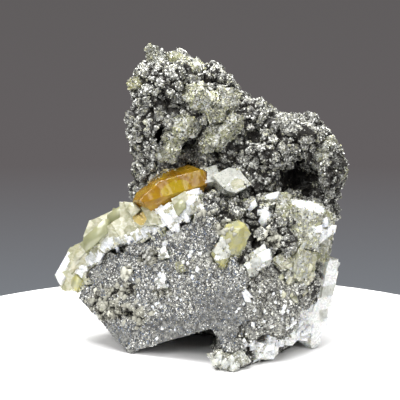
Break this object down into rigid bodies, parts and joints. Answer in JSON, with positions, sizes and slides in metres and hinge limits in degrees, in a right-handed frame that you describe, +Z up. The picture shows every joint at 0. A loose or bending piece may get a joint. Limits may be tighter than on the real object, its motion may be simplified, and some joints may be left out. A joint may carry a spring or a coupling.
{
  "type": "barite specimen",
  "caption": "Free-standing mineral specimen: grey glittering druse over a blocky barite mass, with golden and pale barite crystals, vugs and an arch below.",
  "frame": {"origin": "on the table, under the middle of the specimen's outer box", "axes": "+Z up as it stands, +X to the right of the shown front, the shown front faces -Y"},
  "size_m": [0.0826, 0.0576, 0.0851],
  "materials": {
    "druse": "glittering grey metallic druse of tiny crystals, beige crust in patches",
    "golden_barite": "amber, see-through, glassy with cleavage breaks",
    "pale_barite": "pale cream yellow, translucent, glassy cleavage faces",
    "frosted_barite": "frosted pale grey to cream, translucent",
    "yellow_barite": "yellow, translucent, one side frosted",
    "white_barite": "white, translucent, pearly",
    "olive_barite": "dull pale olive, translucent, dusted with druse"
  },
  "bodies": {
    "root": {"matrix": "druse", "golden_barite": "golden_barite", "barite_ledge": "pale_barite", "wedge_barite": "frosted_barite", "yellow_barite": "yellow_barite", "white_barite": "white_barite", "arc_barite": "white_barite", "striated_barite": "frosted_barite", "rim_barite": "white_barite", "fringe_barite": "white_barite", "toe_barite": "frosted_barite", "tip_barite": "olive_barite", "crest_barite": "olive_barite", "crown_barite": "olive_barite", "inner_barite": "olive_barite", "waist_barite": "olive_barite", "shoulder_barite": "olive_barite", "amber_barite": "golden_barite", "face_barite_white": "white_barite", "face_barite_green": "olive_barite", "face_barite_upper": "white_barite", "back_plates": "pale_barite", "back_blades": "pale_barite"}
  },
  "joints": []
}
